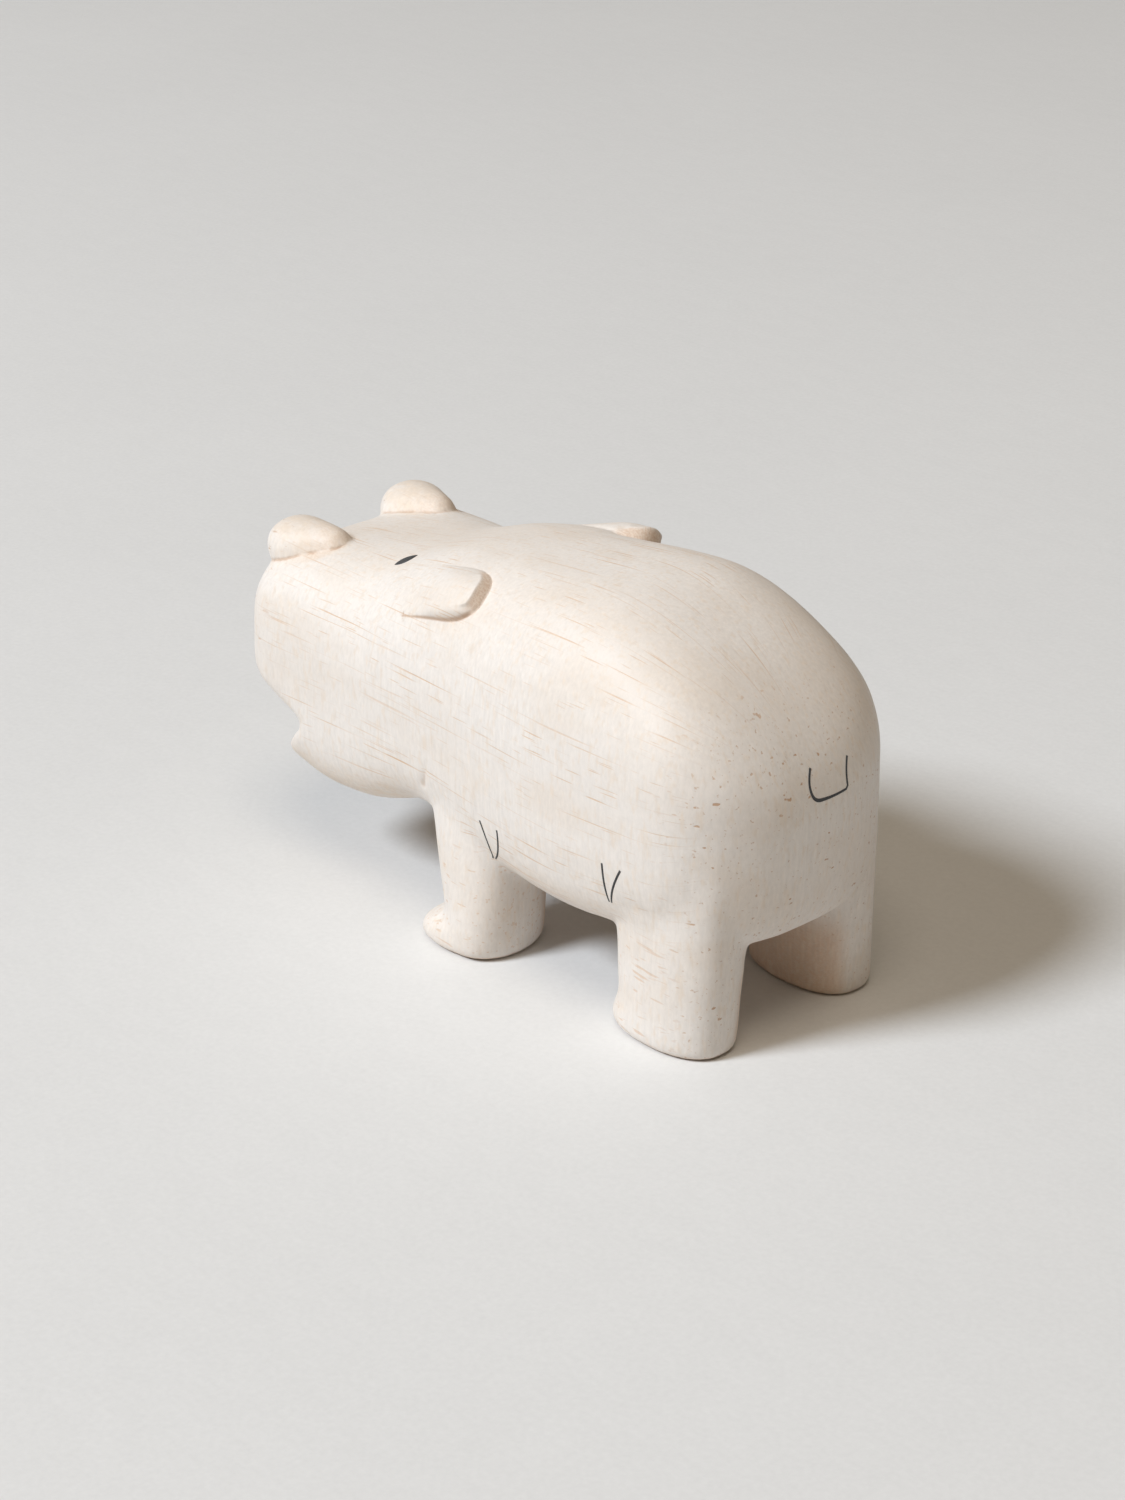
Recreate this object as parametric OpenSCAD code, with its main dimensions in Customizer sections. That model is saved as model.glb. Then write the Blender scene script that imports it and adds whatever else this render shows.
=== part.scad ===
// Carved wooden hippopotamus: one block of pale wood with a few lines drawn on it in ink.
// X runs along the animal with its head towards -X, its left side faces -Y and Z is up.
// The origin is on the floor, in the middle of the animal's length and width.
// Places along the body are given as distances from the tip of the muzzle.

/* [Body] */
// Length from the muzzle to the rump
body_length = 105; // [95:0.5:125]
// Width across the neck
neck_width = 41; // [36:0.2:46]
// Width across the shoulders
shoulder_width = 42.4; // [37:0.2:48]
// Width across the barrel
barrel_width = 44.2; // [38:0.2:50]
// Width across the hips
hip_width = 41.6; // [36:0.2:47]
// Width that the sides head for at the rump, before they round in
rump_width = 40; // [33:0.2:44]
// Height of the neck
neck_height = 55.6; // [49:0.2:59]
// Height of the shoulders
shoulder_height = 57.7; // [52:0.2:62]
// Height of the back
back_height = 59.5; // [54:0.1:64]
// Height of the hips
hip_height = 58.4; // [53:0.2:63]
// Height that the back heads for at the rump, before it rounds down
rump_height = 56; // [51:0.2:61]
// Underside of the throat above the floor
throat_height = 16; // [13:0.1:19]
// Underside of the chest above the floor
chest_height = 12.6; // [10:0.1:15]
// Underside of the belly above the floor
belly_height = 11.7; // [10:0.1:15]
// Underside between the hind legs above the floor
groin_height = 14; // [11:0.1:17]
// Underside at the rump above the floor
rump_underside = 16.4; // [13:0.1:20]
// Place of the neck
neck_place = 41; // [37:0.5:45]
// Place of the shoulders
shoulder_place = 56; // [51:0.5:61]
// Distance from the hips to the end of the rump
hip_setback = 13; // [10:0.5:16]
// Length over which the rump rounds in from the sides
rump_side_round = 14.7; // [10:0.1:20]
// Length over which the rump rounds down from the back
rump_top_round = 33; // [25:0.5:42]
// Length over which the rump rounds up from below
rump_under_round = 4.6; // [3:0.1:8]
// Squareness of the cross-section's upper half at the muzzle, where 2 is an ellipse
muzzle_squareness = 5; // [3.5:0.1:6]
// Squareness of the cross-section's upper half at the forehead, where 2 is an ellipse
forehead_squareness = 2.75; // [2.2:0.05:4]
// Squareness of the cross-section's upper half at the rump, where 2 is an ellipse
rump_squareness = 3.25; // [2.2:0.05:3.8]
// Squareness of the cross-section's lower half, where 2 is an ellipse
under_squareness = 3.7; // [2.8:0.05:4.6]
// Height of the widest line, as a share of the way from the underside to the top
widest_share = 0.44; // [0.35:0.01:0.55]

/* [Head] */
// Width that the sides head for at the muzzle, before they round in
muzzle_width = 42.6; // [38:0.2:48]
// Height that the nose heads for at the muzzle, before it rounds down
muzzle_height = 45.6; // [42:0.2:50]
// Underside that the chin heads for, before it rounds up
chin_height = 13; // [10:0.1:16]
// Place of the nose
nose_place = 14; // [12:0.5:17]
// Width across the nose
nose_width = 41.6; // [37:0.2:46]
// Height of the nose
nose_height = 49; // [44:0.2:53]
// Underside of the jaw above the floor
jaw_height = 11.6; // [9:0.1:14]
// Place of the forehead
forehead_place = 28; // [25:0.5:32]
// Width across the forehead
forehead_width = 40.9; // [36:0.2:46]
// Height of the forehead
forehead_height = 51.4; // [47:0.2:56]
// Underside of the jaw's back end above the floor
jaw_back_height = 12.2; // [10:0.1:15]
// Length over which the muzzle rounds in from the sides
muzzle_side_round = 12.6; // [9:0.1:16]
// Length over which the muzzle rounds down from the nose
muzzle_top_round = 8; // [5:0.1:11]
// Length over which the chin rounds up to the muzzle
chin_round = 20.6; // [15:0.5:26]
// Place of the inner end of the mouth cut
mouth_depth = 17.6; // [13:0.1:19]
// Height of the inner end of the mouth cut
mouth_height = 23.8; // [21:0.1:26]
// Angle at which the upper lip climbs from the mouth cut
upper_lip_angle = 23; // [15:1:35]
// Angle at which the lower lip falls from the mouth cut
lower_lip_angle = 46; // [30:1:55]

/* [Nostrils] */
// Place of the nostril knobs
nostril_place = 7; // [6:0.1:9]
// Distance between the nostril knobs, centre to centre
nostril_spacing = 21.8; // [17:0.2:25]
// Width of a nostril knob
nostril_width = 10.6; // [8:0.1:13]
// Thickness of a nostril knob
nostril_thickness = 8.2; // [6:0.1:10]
// Height of a nostril knob over the nose
nostril_rise = 4; // [3:0.1:6]
// Length of the knob's ridge behind its centre
nostril_ridge = 6.8; // [4:0.1:9]
// Width of the ridge's back end
nostril_ridge_width = 5.2; // [3:0.1:7]
// How far the ridge leans towards the middle
nostril_lean = 0.8; // [0:0.1:2]

/* [Ears] */
// Place of the ear's root
ear_place = 41; // [38:0.5:45]
// Length of the ear from its root to its tip
ear_length = 10.8; // [9:0.1:13]
// Thickness of the ear
ear_thickness = 3.8; // [3:0.1:5]
// Depth of the ear's root below the top of the head
ear_root_drop = 5.4; // [4:0.1:7]
// Depth of the tip's lower corner below the top of the neck
ear_low_drop = 5; // [3.5:0.1:6.5]
// Depth of the tip's upper corner below the top of the neck
ear_high_drop = 1.7; // [1:0.1:2.5]
// Distance from the ear's root to the front of its upper edge
ear_brow = 3.6; // [2.5:0.1:5]
// How far the ear's tip rounds out behind its corners
ear_tip_round = 1.3; // [0.6:0.1:2]
// How far the ear's root stands out of the head
ear_root_relief = 0.4; // [0.2:0.1:1]
// How far the ear's tip stands out of the head
ear_tip_relief = 1.9; // [1:0.1:2.5]
// How much further back the right ear is cut
right_ear_setback = 3.2; // [0:0.1:5]

/* [Legs] */
// Distance between the left and the right feet
leg_gap = 14; // [9:0.2:16]
// Length of a front foot
front_foot_length = 18; // [16:0.1:22]
// Length of a hind foot
hind_foot_length = 19.9; // [16:0.1:22]
// Width of a front foot
front_foot_width = 15.4; // [13:0.1:17]
// Width of a hind foot
hind_foot_width = 12.7; // [11:0.1:15]
// Place of the front toes
front_toe_place = 42.4; // [37:0.1:45]
// Distance from the hind heels to the end of the rump
hind_heel_setback = 4.5; // [3:0.1:8]
// How far a front toe stands out before the ankle
front_toe_reach = 7.4; // [5:0.1:9]
// How far a hind toe stands out before the ankle
hind_toe_reach = 1.9; // [0.8:0.1:3.5]
// Height of a front toe
front_toe_height = 5.4; // [4:0.1:7]
// Height of a hind toe
hind_toe_height = 5.6; // [4:0.1:7]
// Length of a front leg at its top
front_thigh_length = 22; // [19:0.1:25]
// Length of a hind leg at its top
hind_thigh_length = 23.4; // [20:0.1:26]
// How far the top of a front leg reaches before its ankle
front_thigh_lead = 11; // [9:0.1:13]
// How far the top of a hind leg reaches before its ankle
hind_thigh_lead = 4; // [2:0.1:6]
// How far the inside of a leg leans in from its foot to its top
thigh_lean = 2.6; // [1:0.1:4]
// How far the top of a front leg lies inside the widest line of the body
front_thigh_inset = 2; // [1:0.1:3]
// How far the top of a hind leg lies inside the widest line of the body
hind_thigh_inset = 2; // [1.5:0.1:4.5]
// Rounding of the edge around a sole
sole_round = 0.9; // [0.5:0.1:1.6]
// Squareness of a leg's outline from above, where 2 is an ellipse
leg_power = 2.3; // [2:0.05:3]

/* [Ink] */
// Width of a drawn line
line_width = 0.32; // [0.28:0.02:0.8]
// Thickness of the ink on the wood
ink_film = 0.12; // [0.08:0.01:0.2]
// Clearance between the wood and the ink
ink_clearance = 0.06; // [0.04:0.01:0.1]
// Place of the eyes
eye_place = 30; // [27:0.5:33]
// Distance between the eyes, centre to centre
eye_spacing = 19.5; // [16:0.1:23]
// Length of an eye
eye_length = 2.5; // [2:0.1:5]
// Thickness of an eye at its middle
eye_thickness = 1.85; // [1.2:0.05:2.6]
// How much further out the right eye is drawn
right_eye_shift = 2.2; // [0:0.1:3]
// How much further back the inner end of an eye lies
eye_slant = 2.2; // [0:0.1:3]
// Width of the drawn tail
tail_width = 7; // [5:0.1:9]
// Height of the drawn tail
tail_height = 4; // [3:0.1:6]
// Height of the drawn tail's lower line
tail_place = 36.5; // [33:0.1:40]
// How far the drawn tail lies to the right of the middle
tail_offset = 1.3; // [-2:0.1:2.5]
// How far the drawn tail leans to the right
tail_lean = 1; // [0:0.1:2]
// How much higher the left end of the tail is drawn
tail_left_rise = 0.4; // [0:0.1:1]
// How far the right side of the tail bows inwards
tail_bow = 0.7; // [0:0.1:1.2]
// Rounding of the drawn tail's left corner
tail_left_corner = 2; // [0.8:0.1:2.6]
// Rounding of the drawn tail's right corner
tail_right_corner = 0.4; // [0.2:0.1:1]
// How far the drawn tail's lower line sags
tail_sag = 0.2; // [0:0.1:1]
// Height of the front leg folds
front_fold_height = 6.5; // [4:0.1:8]
// Height of the hind leg folds
hind_fold_height = 6.2; // [4:0.1:8]
// How far the top of a fold's fore stroke lies before the fold's foot
fold_fore_reach = 0.4; // [0:0.1:1.5]
// How far the top of a front fold's aft stroke lies behind the fold's foot
front_fold_aft_reach = 3.5; // [2:0.1:4.5]
// How far the top of a hind fold's aft stroke lies behind the fold's foot
hind_fold_aft_reach = 2.9; // [2:0.1:4.5]
// How far a front fold's fore stroke is pulled backwards
front_fore_bow = 1.2; // [-2:0.1:2]
// How far a front fold's aft stroke is pulled backwards
front_aft_bow = 1.5; // [-2:0.1:2]
// How far a hind fold's fore stroke is pulled backwards
hind_fore_bow = 0; // [-2:0.1:2]
// How far a hind fold's aft stroke is pulled backwards
hind_aft_bow = -0.9; // [-2:0.1:2]
// Height of the lower end of the front leg folds
front_fold_foot = 16.8; // [16:0.1:20]
// Height of the lower end of the hind leg folds
hind_fold_foot = 20.3; // [18:0.1:23]
// Distance from the front heel to the front leg folds
front_fold_inset = 1.1; // [0:0.1:4]
// Distance from the hind toe to the hind leg folds
hind_fold_inset = 4.2; // [1:0.1:6]

/* [Hidden] */
wood = [0.93, 0.89, 0.83];
ink = [0.20, 0.20, 0.23];

// Number of cross-sections along the body, and of points around each
rings = 56;
ring_points = 52;
leg_points = 36;
stroke_steps = 14;
$fn = 28;

// Roundness of the muzzle and the rump in each direction, where 2 is an ellipse
muzzle_side_power = 2.75;
muzzle_top_power = 2.7;
chin_power = 1.55;
rump_side_power = 2.2;
rump_top_power = 1.9;
rump_under_power = 2.35;

// The rounding under a foot: shares of its height, and of its inset there
sole_bend = [[0, 1], [0.33, 0.25], [1, 0]];

// The bend of a toe's upper side: shares of its height, of its reach given up and of the rounding's inset
toe_bend = [[0.3, 0.06, 0], [0.62, 0.4, 0.15], [1, 1, 0.5]];

// How far the ankle is drawn in from the foot
ankle_tuck = 0.2;

// Share of a fold stroke's spread that is left at the fold's foot
fold_close = 0.125;

// Where a fold stroke is pulled to: shares of its spread and of its height
fold_bow = [0.62, 0.42];

// Share of its width that a pen line loses towards its end
pen_taper = 0.4;
// How much a pen line swells at a share of its length, and over which share
pen_swell = 0.5;
swell_place = 0.42;
swell_span = 0.16;

// Width of an eye at its two ends, and how slowly it thins out towards them
eye_point = 0.1;
eye_fullness = 0.75;

// Distance of the first and the last cross-section from the ends of the body
end_gap = 0.02;

// Thickness of the slices that a leg is built from
slice = 0.01;

// Number of halvings in the search for the rump's surface
search_steps = 24;

hip_place = body_length - hip_setback;
barrel_place = (shoulder_place + hip_place) / 2;
front_heel_place = front_toe_place + front_foot_length;
hind_heel_place = body_length - hind_heel_setback;
hind_toe_place = hind_heel_place - hind_foot_length;

// The body's outline: place along the body, half width, top and underside
profile = [
    [0, muzzle_width / 2, muzzle_height, chin_height],
    [nose_place, nose_width / 2, nose_height, jaw_height],
    [forehead_place, forehead_width / 2, forehead_height, jaw_back_height],
    [neck_place, neck_width / 2, neck_height, throat_height],
    [shoulder_place, shoulder_width / 2, shoulder_height, chest_height],
    [barrel_place, barrel_width / 2, back_height, belly_height],
    [hip_place, hip_width / 2, hip_height, groin_height],
    [body_length, rump_width / 2, rump_height, rump_underside],
];

// A power that keeps the sign of its base
function signed_power(base, power) = sign(base) * pow(abs(base), power);

// The stretch of the outline that a place lies in
function stretch(place, i = 0) =
    i >= len(profile) - 2 || place < profile[i + 1][0] ? i : stretch(place, i + 1);

// The outline's slope at one of its points
function outline_slope(column, i) =
    let (before = max(i - 1, 0), after = min(i + 1, len(profile) - 1))
    (profile[after][column] - profile[before][column]) / (profile[after][0] - profile[before][0]);

// A smooth curve through one column of the outline
function outline(column, place) =
    let (
        i = stretch(place),
        span = profile[i + 1][0] - profile[i][0],
        u = (place - profile[i][0]) / span,
        start_slope = span * outline_slope(column, i),
        end_slope = span * outline_slope(column, i + 1)
    )
    (2 * u ^ 3 - 3 * u ^ 2 + 1) * profile[i][column] + (u ^ 3 - 2 * u ^ 2 + u) * start_slope
        + (3 * u ^ 2 - 2 * u ^ 3) * profile[i + 1][column] + (u ^ 3 - u ^ 2) * end_slope;

// How far a rounded end has opened at a distance from its tip
function opened(distance, round_length, power) =
    let (left = max(0, 1 - max(0, distance) / round_length))
    pow(1 - pow(left, power), 1 / power);

function half_width(place) =
    outline(1, place)
        * opened(place, muzzle_side_round, muzzle_side_power)
        * opened(body_length - place, rump_side_round, rump_side_power);

function widest_height(place) =
    let (low = outline(3, place))
    low + widest_share * (outline(2, place) - low);

function rise(place) =
    (outline(2, place) - widest_height(place))
        * opened(place, muzzle_top_round, muzzle_top_power)
        * opened(body_length - place, rump_top_round, rump_top_power);

function drop(place) =
    (widest_height(place) - outline(3, place))
        * opened(place, chin_round, chin_power)
        * opened(body_length - place, rump_under_round, rump_under_power);

// Squareness of the cross-section's upper half at a place
function squareness(place) =
    lookup(place, [
        [0, muzzle_squareness],
        [forehead_place, forehead_squareness],
        [body_length, rump_squareness],
    ]);

// How far out a cross-section reaches on one axis at a share of the way along the other
function section_reach(share, power) = pow(max(0, 1 - pow(min(1, abs(share)), power)), 1 / power);

// Half width of the body at a place and height
function side_reach(place, height) =
    let (above = height - widest_height(place))
    half_width(place)
        * (above > 0
            ? section_reach(above / rise(place), squareness(place))
            : section_reach(above / drop(place), under_squareness));

// Height of the body's top at a place and distance from the middle
function top_reach(place, across) =
    widest_height(place) + rise(place) * section_reach(across / half_width(place), squareness(place));

// Place where the rump's surface lies, at a distance from the middle and a height
function rump_reach(across, height, low = barrel_place, high = body_length - end_gap, steps = search_steps) =
    let (middle = (low + high) / 2)
    steps == 0 ? middle
        : side_reach(middle, height) > abs(across)
            ? rump_reach(across, height, middle, high, steps - 1)
            : rump_reach(across, height, low, middle, steps - 1);

// A leg's shank at its ankle and at its top: height, front, back, inner side and outer side
function shank(toe, heel, foot_width, toe_reach, toe_height, thigh_lead, thigh_length, thigh_inset) =
    let (
        inner = leg_gap / 2,
        ankle = toe + toe_reach,
        thigh = ankle - thigh_lead,
        middle = thigh + thigh_length / 2
    )
    [
        [toe_height, ankle, heel, inner, inner + foot_width - ankle_tuck],
        [
            widest_height(middle),
            thigh,
            thigh + thigh_length,
            inner - thigh_lean,
            half_width(middle) - thigh_inset,
        ],
    ];

function front_shank() =
    shank(
        front_toe_place,
        front_heel_place,
        front_foot_width,
        front_toe_reach,
        front_toe_height,
        front_thigh_lead,
        front_thigh_length,
        front_thigh_inset
    );

function hind_shank() =
    shank(
        hind_toe_place,
        hind_heel_place,
        hind_foot_width,
        hind_toe_reach,
        hind_toe_height,
        hind_thigh_lead,
        hind_thigh_length,
        hind_thigh_inset
    );

// How far out the side of a shank reaches at a place and height
function shank_reach(ends, place, height) =
    let (
        u = (height - ends[0].x) / (ends[1].x - ends[0].x),
        row = (1 - u) * ends[0] + u * ends[1],
        share = (2 * place - row[1] - row[2]) / (row[2] - row[1])
    )
    (row[3] + row[4] + (row[4] - row[3]) * section_reach(share, leg_power)) / 2;

// One cross-section of the body
function body_ring(place) =
    let (
        width = half_width(place),
        middle = widest_height(place),
        up = rise(place),
        down = drop(place)
    )
    [
        for (k = [0 : ring_points - 1])
            let (
                angle = 360 * k / ring_points,
                power = 2 / (sin(angle) > 0 ? squareness(place) : under_squareness)
            )
            [
                place - body_length / 2,
                width * signed_power(cos(angle), power),
                middle + (sin(angle) > 0 ? up : down) * signed_power(sin(angle), power),
            ]
    ];

// A closed skin over a row of rings
module loft(ring_list) {
    count = len(ring_list);
    around = len(ring_list[0]);
    points = [for (ring = ring_list) each ring];
    sides = [
        for (i = [0 : count - 2], k = [0 : around - 1])
            let (
                a = i * around + k,
                b = i * around + (k + 1) % around
            )
            each [[a, a + around, b + around], [a, b + around, b]]
    ];
    first_end = [for (k = [0 : around - 1]) k];
    last_end = [for (k = [around - 1 : -1 : 0]) (count - 1) * around + k];
    polyhedron(points, concat([first_end], sides, [last_end]));
}

// Head, barrel and rump as one rounded block
module trunk() {
    loft([
        for (i = [0 : rings - 1])
            let (place = body_length * (1 - cos(180 * i / (rings - 1))) / 2)
            body_ring(min(max(place, end_gap), body_length - end_gap))
    ]);
}

// A thin level slice of a leg
module leg_slice(height, front, back, inner, outer) {
    long = (back - front) / 2;
    wide = (outer - inner) / 2;
    outline_points = [
        for (k = [0 : leg_points - 1])
            let (angle = 360 * k / leg_points)
            [
                long * signed_power(cos(angle), 2 / leg_power),
                wide * signed_power(sin(angle), 2 / leg_power),
            ]
    ];
    translate([(front + back - body_length) / 2, (inner + outer) / 2, height])
        linear_extrude(slice)
            polygon(outline_points);
}

// A slice of a foot, drawn in by an inset all round and at the toe by a setback
module foot_slice(height, toe, heel, outer, inset, setback) {
    leg_slice(height, toe + max(inset, setback), heel - inset, leg_gap / 2 + inset, outer - inset);
}

// A leg on the +Y side: a foot with a toe, and a shank that runs up into the body
module leg(toe, heel, foot_width, toe_reach, toe_height, ends) {
    inner = leg_gap / 2;
    outer = inner + foot_width;
    hull() {
        for (bend = sole_bend)
            foot_slice(sole_round * bend.x, toe, heel, outer, sole_round * bend.y, 0);
        for (bend = toe_bend)
            foot_slice(toe_height * bend.x, toe, heel, outer, sole_round * bend.z, toe_reach * bend.y);
    }
    hull() {
        leg_slice(sole_round, toe + toe_reach, heel - ankle_tuck, inner + ankle_tuck, outer - ankle_tuck);
        for (end = ends)
            leg_slice(end[0], end[1], end[2], end[3], end[4]);
    }
}

module front_leg() {
    leg(
        front_toe_place,
        front_heel_place,
        front_foot_width,
        front_toe_reach,
        front_toe_height,
        front_shank()
    );
}

module hind_leg() {
    leg(
        hind_toe_place,
        hind_heel_place,
        hind_foot_width,
        hind_toe_reach,
        hind_toe_height,
        hind_shank()
    );
}

// A nostril knob on the +Y side, with a ridge that runs back from it
module nostril() {
    across = nostril_spacing / 2;
    back_across = across - nostril_lean;
    back_place = nostril_place + nostril_ridge;
    back_radius = nostril_ridge_width / 2;
    top = top_reach(nostril_place, across) + nostril_rise;
    hull() {
        translate([nostril_place - body_length / 2, across, top - nostril_thickness / 2])
            scale([1, 1, nostril_thickness / nostril_width])
                sphere(d = nostril_width);
        translate([back_place - body_length / 2, back_across, top_reach(back_place, back_across)])
            sphere(r = back_radius);
    }
}

// A ball of the ear's thickness that stands out of the head's side by a relief
module ear_ball(place, top_drop, relief) {
    height = outline(2, place) - top_drop;
    across = side_reach(place, height) + relief - ear_thickness / 2;
    translate([place - body_length / 2, across, height])
        sphere(d = ear_thickness);
}

// An ear on the +Y side, laid back along the head
module ear(setback) {
    root = ear_place + setback;
    tip = root + ear_length;
    corner = tip - ear_tip_round;
    hull() {
        ear_ball(root, ear_root_drop, ear_root_relief);
        ear_ball(root + ear_brow, ear_high_drop, ear_root_relief);
        ear_ball(corner, ear_low_drop, ear_tip_relief);
        ear_ball(tip, (ear_low_drop + ear_high_drop) / 2, ear_tip_relief);
        ear_ball(corner, ear_high_drop, ear_tip_relief);
    }
}

// The wedge cut across the front of the head
module mouth_cut() {
    reach = mouth_depth + cut_span();
    translate([-body_length / 2, cut_span() / 2, 0])
        rotate([90, 0, 0])
            linear_extrude(cut_span())
                polygon([
                    [mouth_depth, mouth_height],
                    [mouth_depth - reach, mouth_height + reach * tan(upper_lip_angle)],
                    [mouth_depth - reach, mouth_height - reach * tan(lower_lip_angle)],
                ]);
}

// A width that spans the whole head
function cut_span() = max(muzzle_width, nose_width, forehead_width) + 2 * nostril_width;

module carved_body() {
    color(wood)
        difference() {
            union() {
                trunk();
                for (side = [0, 1])
                    mirror([0, 1 - side, 0]) {
                        front_leg();
                        hind_leg();
                        nostril();
                        ear(side * right_ear_setback);
                    }
            }
            mouth_cut();
        }
}

// Points of a bent stroke between two ends, pulled towards a third point
function bent_path(start, pull, end) = [
    for (i = [0 : stroke_steps])
        let (u = i / stroke_steps)
        (1 - u) ^ 2 * start + 2 * u * (1 - u) * pull + u ^ 2 * end
];

// Direction of a path at one of its points
function path_direction(path, i) =
    let (
        before = path[max(i - 1, 0)],
        after = path[min(i + 1, len(path) - 1)]
    )
    (after - before) / norm(after - before);

// A film of ink along a flat path, laid onto the wood by the function that lifts its points
module ink_stroke(path, widths, lift) {
    color(ink)
        loft([
            for (i = [0 : len(path) - 1])
                let (
                    direction = path_direction(path, i),
                    half = widths[i] / 2 * [-direction.y, direction.x]
                )
                [
                    lift(path[i] - half, ink_clearance),
                    lift(path[i] + half, ink_clearance),
                    lift(path[i] + half, ink_clearance + ink_film),
                    lift(path[i] - half, ink_clearance + ink_film),
                ]
        ]);
}

// Widths of a pen line that thins out towards its end
function pen_widths(count) = [
    for (i = [0 : count - 1])
        let (u = i / (count - 1))
        line_width * (1 - pen_taper * u ^ 3)
];

// Widths of a pen line that swells around one place
function swollen_widths(count) = [
    for (i = [0 : count - 1])
        let (u = (i / (count - 1) - swell_place) / swell_span)
        line_width * (1 + pen_swell * exp(-u * u))
];

// Widths of a lens with two pointed ends
function lens_widths(count) = [
    for (i = [0 : count - 1])
        let (u = i / (count - 1))
        max(eye_point, eye_thickness * pow(sin(180 * u), eye_fullness))
];

// Points on the left flank, where it is widened by a leg's shank, at a height over the wood
lift_flank = function (ends)
    function (p, over) [
        p.x - body_length / 2,
        -max(side_reach(p.x, p.y), shank_reach(ends, p.x, p.y)) - over,
        p.y,
    ];

// Points on the top and on the rump, at a height over the wood
lift_top = function (p, over) [p.x - body_length / 2, p.y, top_reach(p.x, p.y) + over];
lift_rump = function (p, over) [rump_reach(p.x, p.y) + over - body_length / 2, p.x, p.y];

// An eye on the left, drawn across the forehead and moved out by a shift
module eye(shift) {
    outer = [eye_place - eye_slant / 2, -(eye_spacing + eye_length) / 2 - shift];
    inner = [eye_place + eye_slant / 2, -(eye_spacing - eye_length) / 2 - shift];
    path = bent_path(outer, (outer + inner) / 2, inner);
    ink_stroke(path, lens_widths(len(path)), lift_top);
}

module left_eye() {
    eye(0);
}

module right_eye() {
    mirror([0, 1, 0])
        eye(right_eye_shift);
}

// The tail: down one side, along the bottom and up the other side
module tail_line() {
    left = tail_offset - tail_width / 2;
    right = tail_offset + tail_width / 2;
    low = tail_place;
    high = tail_place + tail_height;
    left_high = high + tail_left_rise;
    left_turn = low + tail_left_corner;
    right_turn = low + tail_right_corner;
    left_side = bent_path([left + tail_lean, left_high], [left, (left_turn + high) / 2], [left, left_turn]);
    turn = bent_path([left, left_turn], [left, low], [left + tail_left_corner, low]);
    bottom = bent_path(
        [left + tail_left_corner, low],
        [tail_offset, low - tail_sag],
        [right - tail_right_corner, low]
    );
    right_side = bent_path(
        [right, right_turn],
        [right + tail_lean / 2 - tail_bow, (right_turn + high) / 2],
        [right + tail_lean, high]
    );
    path = concat(
        left_side,
        [for (i = [1 : len(turn) - 1]) turn[i]],
        [for (i = [1 : len(bottom) - 1]) bottom[i]],
        right_side
    );
    ink_stroke(path, swollen_widths(len(path)), lift_rump);
}

// One stroke of a leg fold on the left flank, from its top down to the fold's foot
module fold_stroke(place, foot, height, top_offset, bow, ends) {
    top_point = [place + top_offset, foot + height];
    foot_point = [place + fold_close * top_offset, foot];
    pull = [place + fold_bow.x * top_offset + bow, foot + fold_bow.y * height];
    path = bent_path(top_point, pull, foot_point);
    ink_stroke(path, pen_widths(len(path)), lift_flank(ends));
}

module front_fold(top_offset, bow) {
    place = front_heel_place - front_fold_inset;
    fold_stroke(place, front_fold_foot, front_fold_height, top_offset, bow, front_shank());
}

module hind_fold(top_offset, bow) {
    place = hind_toe_place + hind_fold_inset;
    fold_stroke(place, hind_fold_foot, hind_fold_height, top_offset, bow, hind_shank());
}

module front_left_fold_fore() {
    front_fold(-fold_fore_reach, front_fore_bow);
}

module front_left_fold_aft() {
    front_fold(front_fold_aft_reach, front_aft_bow);
}

module front_right_fold_fore() {
    mirror([0, 1, 0])
        front_fold(-fold_fore_reach, front_fore_bow);
}

module front_right_fold_aft() {
    mirror([0, 1, 0])
        front_fold(front_fold_aft_reach, front_aft_bow);
}

module hind_left_fold_fore() {
    hind_fold(-fold_fore_reach, hind_fore_bow);
}

module hind_left_fold_aft() {
    hind_fold(hind_fold_aft_reach, hind_aft_bow);
}

module hind_right_fold_fore() {
    mirror([0, 1, 0])
        hind_fold(-fold_fore_reach, hind_fore_bow);
}

module hind_right_fold_aft() {
    mirror([0, 1, 0])
        hind_fold(hind_fold_aft_reach, hind_aft_bow);
}

carved_body();
left_eye();
right_eye();
tail_line();
front_left_fold_fore();
front_left_fold_aft();
front_right_fold_fore();
front_right_fold_aft();
hind_left_fold_fore();
hind_left_fold_aft();
hind_right_fold_fore();
hind_right_fold_aft();
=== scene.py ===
import math

import bmesh
import bpy
import numpy as np
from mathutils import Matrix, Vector, noise
from mathutils.bvhtree import BVHTree
from mathutils.kdtree import KDTree


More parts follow.
